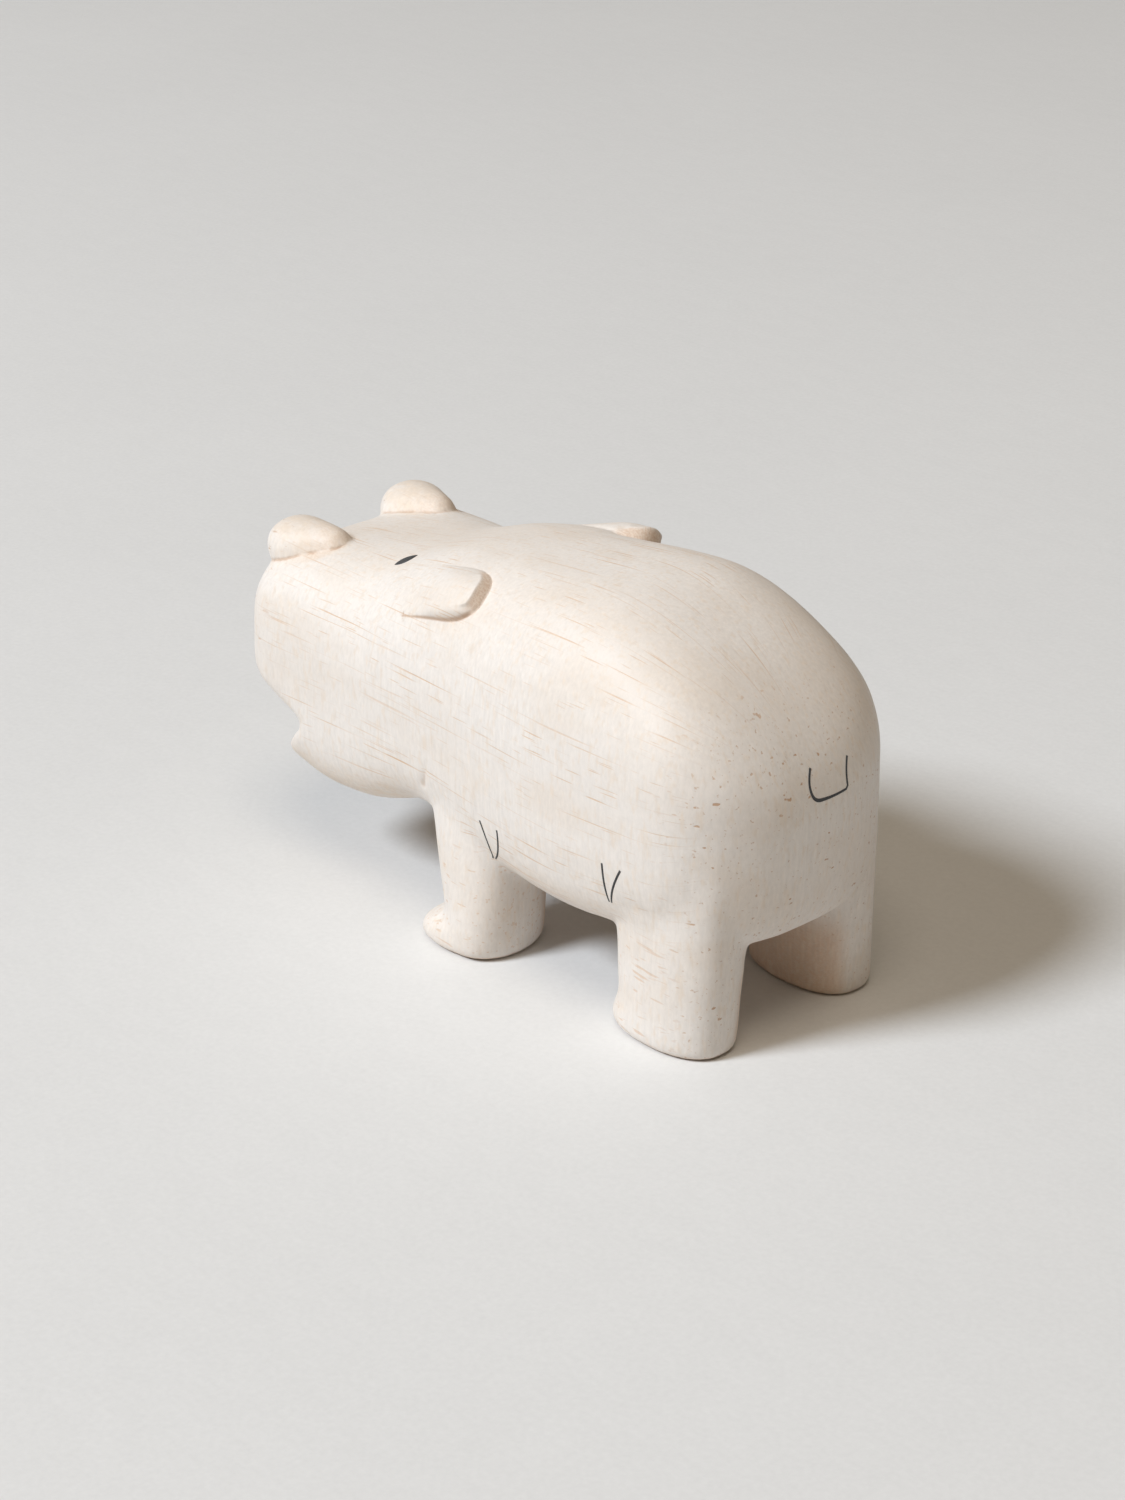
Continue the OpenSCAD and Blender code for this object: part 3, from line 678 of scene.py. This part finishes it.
class Nodes:
    """A short way to write a material's nodes."""

    def __init__(self, name):
        self.material = bpy.data.materials.new(name)
        self.material.use_nodes = True
        self.tree = self.material.node_tree
        self.shader = self.tree.nodes["Principled BSDF"]

    def add(self, kind, settings=None, **sockets):
        node = self.tree.nodes.new("ShaderNode" + kind)
        for key, value in (settings or {}).items():
            setattr(node, key, value)
        for key, value in sockets.items():
            self.put(node.inputs[key.replace("_", " ")], value)
        return node

    def put(self, socket, value):
        if isinstance(value, bpy.types.NodeSocket):
            self.tree.links.new(value, socket)
        else:
            socket.default_value = value

    def math(self, operation, a, b=0.0, c=0.0):
        node = self.add("Math", {"operation": operation})
        for socket, value in zip(node.inputs, (a, b, c)):
            self.put(socket, value)
        return node.outputs[0]

    def span(self, value, low, high, to_low=0.0, to_high=1.0):
        node = self.add("MapRange", {"interpolation_type": "SMOOTHSTEP"})
        for socket, v in zip(node.inputs, (value, low, high, to_low, to_high)):
            self.put(socket, v)
        return node.outputs[0]

    def mix(self, factor, a, b):
        node = self.add("Mix", {"data_type": "RGBA"})
        for key, value in zip(MIX_INPUTS, (factor, a, b)):
            self.put(node.inputs[key], value)
        return node.outputs[MIX_OUTPUT]

    def place(self, stretch, shift, source):
        """Coordinates in units of the three lengths of stretch, in millimetres."""
        node = self.add("Mapping", {"vector_type": "POINT"})
        self.put(node.inputs["Vector"], source or self.add("TexCoord").outputs["Object"])
        node.inputs["Scale"].default_value = [1 / (s * MM) for s in stretch]
        node.inputs["Location"].default_value = shift
        return node.outputs[0]

    def noise(self, stretch, shift=(0, 0, 0), detail=2.0, rough=0.5, source=None):
        """A noise over the object's own coordinates, or over those of a source."""
        node = self.add("TexNoise", Detail=detail, Roughness=rough, Scale=1.0)
        self.put(node.inputs["Vector"], self.place(stretch, shift, source))
        return node.outputs[0]

    def attribute(self, name):
        return self.add("Attribute", {"attribute_name": name}).outputs["Fac"]


def whitewash(n):
    """Thin white paint, thinner in patches."""
    tone = n.noise((60, 14, 14), (3, 1, 7), detail=3)
    patch = n.noise((14, 8, 8), (5, 8, 2), detail=3)
    colour = n.mix(n.span(tone, 0.35, 0.65), WASH, WASH_PALE)
    return n.mix(n.span(patch, 0.43, 0.72, 0, 0.6), colour, WASH_THIN)


def wood_pores(n):
    """Pores run with the grain: streaks along the body, nicks on the legs and dots on the two ends."""
    place = n.add("SeparateXYZ", Vector=n.add("TexCoord").outputs["Object"]).outputs
    turn = n.math("ARCTAN2", place["Y"], n.math("SUBTRACT", place["Z"], AXIS_HEIGHT * MM))
    around = n.add("CombineXYZ", X=place["X"], Y=n.math("MULTIPLY", turn, AXIS_HEIGHT * MM)).outputs[0]
    at_end = n.span(n.math("ABSOLUTE", place["X"]), *(x * MM for x in END_SPAN))
    at_leg = n.span(place["Z"], *(z * MM for z in LEG_SPAN))

    streak = n.span(n.noise((30, 0.70, 1), detail=1.5, rough=0.4, source=around), 0.625, 0.70)
    gaps = n.span(n.noise((16, 2.2, 1), (8, 3, 5), detail=1, source=around), 0.42, 0.58)
    dash = n.span(n.noise((7, 0.5, 1), (4, 9, 1), detail=1, source=around), 0.66, 0.74, 0, 0.8)
    band = n.span(n.noise((50, 7, 7), (2, 6, 4)), 0.40, 0.60, 0.4, 1.0)
    streaks = n.math("MULTIPLY", n.math("MAXIMUM", n.math("MULTIPLY", streak, gaps), dash), band)
    nicks = n.span(n.noise((5, 0.5, 0.5), (4, 9, 1), detail=1), 0.635, 0.72, 0, 0.55)
    dots = n.span(n.noise((4, 0.5, 0.5), (1, 7, 3)), 0.65, 0.74, 0, 0.8)
    knots = n.span(n.noise((6, 1.5, 0.9), (9, 2, 6)), 0.70, 0.74)
    pores = n.mix(at_end, n.mix(at_leg, streaks, nicks), n.math("MAXIMUM", dots, knots))
    return pores, n.mix(at_end, PORE, END_PORE)


def thin_paint(n, colour):
    """Wood that shows through on the knobs, the ears' cut ends, in cuts and on hidden sides of the legs, and
    painted shade: a dark line under each ear, a warm tone under the jaw, and darker bare wood between and
    under the legs.
    """
    grain = n.noise((0.5, 0.25, 0.25), (7, 1, 3), detail=3)
    veil = n.span(n.noise((3, 1.5, 1.5), (3, 3, 9), detail=3), 0.3, 0.7, 0.2, 0.75)
    raw = n.mix(n.span(grain, 0.35, 0.65), RAW_WOOD, RAW_WOOD_PALE)
    # Warmer wood on the knobs, and a warm painted shade on the underside of the jaw
    colour = n.mix(n.math("MULTIPLY", n.attribute("warm"), veil), colour, WARM_WOOD_AND_SHADE)
    colour = n.mix(n.math("MULTIPLY", n.attribute("raw"), RAW_STRENGTH), colour, raw)
    # Cut lines and knob creases, and the painted shadow line under each ear
    colour = n.mix(n.math("MULTIPLY", n.attribute("line"), CUT_AND_SHADOW_STRENGTH), colour, CUT_WOOD_AND_SHADOW)
    # Bare wood on hidden sides of the legs, darkened as painted shade
    bare_and_shade = n.math("MULTIPLY", n.attribute("bare_and_shade"), n.span(grain, 0.2, 0.7, 0.6, 0.9))
    return n.mix(bare_and_shade, colour, BARE_WOOD_AND_SHADE)


def wood_material():
    n = Nodes("whitewashed_wood")
    pores, pore_colour = wood_pores(n)
    colour = n.mix(n.math("MULTIPLY", pores, PORE_STRENGTH), whitewash(n), pore_colour)
    colour = thin_paint(n, colour)

    # Brushed and sanded paint: fine upright strokes, a fine mottle and faint warm flecks
    stroke = n.noise((0.5, 0.5, 9), (1, 4, 8))
    mottle = n.noise((0.5, 0.5, 1.1), (6, 2, 5), detail=3, rough=0.6)
    fleck = n.span(n.noise((0.9, 0.7, 2.4), (2, 8, 1)), 0.5, 0.75, 0, 0.5)
    colour = n.mix(fleck, colour, FLECK)
    brushed = n.span(n.noise((20, 20, 14), (5, 1, 2)), 0.35, 0.65, 0.06, 0.18)
    shade = n.math("MULTIPLY_ADD", n.math("SUBTRACT", stroke, 0.5), brushed, 1.0)
    shade = n.math("MULTIPLY", shade, n.math("MULTIPLY_ADD", mottle, 0.2, 0.9))
    bright = n.add("HueSaturation", Color=colour, Value=shade)
    n.put(n.shader.inputs["Base Color"], bright.outputs[0])
    n.put(n.shader.inputs["Roughness"], n.span(mottle, 0.3, 0.7, 0.5, 0.62))
    n.shader.inputs["Specular IOR Level"].default_value = 0.5

    height = n.math("MULTIPLY_ADD", pores, -1.0, n.math("MULTIPLY", stroke, STROKE_RELIEF))
    height = n.math("MULTIPLY_ADD", mottle, MOTTLE_RELIEF, height)
    bump = n.add("Bump", Strength=BUMP_STRENGTH, Distance=BUMP_DEPTH * MM, Height=height)
    n.put(n.shader.inputs["Normal"], bump.outputs[0])
    return n.material


def ink_material():
    n = Nodes("pen_ink")
    wear = n.noise((0.35, 0.35, 0.35), (2, 3, 4), detail=3)
    n.put(n.shader.inputs["Base Color"], n.mix(n.span(wear, 0.35, 0.75), INK, INK_WORN))
    n.put(n.shader.inputs["Roughness"], n.span(wear, 0.3, 0.7, 0.5, 0.7))
    return n.material


def paper_material():
    n = Nodes("paper_floor")
    cloud = n.noise((60, 60, 60), detail=4)
    grain = n.noise((0.9, 0.9, 0.9), (3, 5, 0), detail=4, rough=0.6)
    fibre = n.noise((7, 4, 7), (1, 2, 0), detail=3, rough=0.6)
    shade = n.math("MULTIPLY_ADD", fibre, 0.05, n.math("MULTIPLY_ADD", grain, 0.12, 0.915))
    speckled = n.add("HueSaturation", Color=n.mix(cloud, PAPER, PAPER_PALE), Value=shade)
    n.put(n.shader.inputs["Base Color"], speckled.outputs[0])
    n.put(n.shader.inputs["Roughness"], n.span(cloud, 0.3, 0.7, 0.85, 0.95))
    n.shader.inputs["Specular IOR Level"].default_value = 0.2
    return n.material


wood_mesh.materials.append(wood_material())
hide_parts("carved_body")
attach(body, "root")

ink = ink_material()
for node, piece in ink_pieces.items():
    piece.data.materials.append(ink)
    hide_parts(node)
    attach(piece, "root")

# Stage
floor_mesh = bpy.data.meshes.new("floor")
floor_mesh.from_pydata(
    [(x * FLOOR_REACH, y * FLOOR_REACH, 0) for x, y in ((-1, -1), (1, -1), (1, 1), (-1, 1))],
    [],
    [(0, 1, 2, 3)],
)
floor_mesh.materials.append(paper_material())
floor = link("floor", floor_mesh)


def lamp(name, direction, size, power, colour):
    """A round soft box that looks at the object's middle from a direction."""
    light = bpy.data.lights.new(name, "AREA")
    light.shape = "DISK"
    light.size = size
    light.energy = power
    light.color = colour
    piece = link(name, light)
    towards = Vector(direction).normalized()
    piece.location = (cad_box[0] + cad_box[1]) / 2 + towards * LAMP_DISTANCE
    piece.rotation_mode = "QUATERNION"
    piece.rotation_quaternion = (-towards).to_track_quat("-Z", "Y")


def studio_world():
    """The sky's warm light falls on the object, and a pale backdrop shows beyond the floor."""
    world = bpy.data.worlds.new("studio")
    world.use_nodes = True
    nodes = world.node_tree.nodes
    links = world.node_tree.links
    sky = nodes["Background"]
    sky.inputs["Color"].default_value = SKY
    sky.inputs["Strength"].default_value = SKY_STRENGTH
    backdrop = nodes.new("ShaderNodeBackground")
    backdrop.inputs["Color"].default_value = BACKDROP

    rays = nodes.new("ShaderNodeLightPath").outputs
    shown = rays["Is Camera Ray"]
    for kind in ("Is Glossy Ray", "Is Transmission Ray"):
        either = nodes.new("ShaderNodeMath")
        either.operation = "MAXIMUM"
        links.new(shown, either.inputs[0])
        links.new(rays[kind], either.inputs[1])
        shown = either.outputs[0]
    surface = nodes.new("ShaderNodeMixShader")
    links.new(shown, surface.inputs["Fac"])
    links.new(sky.outputs[0], surface.inputs[1])
    links.new(backdrop.outputs[0], surface.inputs[2])
    links.new(surface.outputs[0], nodes["World Output"].inputs["Surface"])
    return world


def photo_camera():
    """The camera at the photograph's place."""
    data = bpy.data.cameras.new("camera")
    data.sensor_width = CAMERA_SENSOR
    data.lens = CAMERA_LENS
    data.clip_start = CAMERA_CLIP
    camera = link("camera", data)
    camera.location = CAMERA_PLACE
    camera.rotation_mode = "QUATERNION"
    camera.rotation_quaternion = Vector(CAMERA_LOOK).to_track_quat("-Z", "Y")
    return camera


for name, settings in LAMPS.items():
    lamp(name, **settings)
scene.world = studio_world()
scene.camera = photo_camera()
scene.view_settings.view_transform = "Standard"
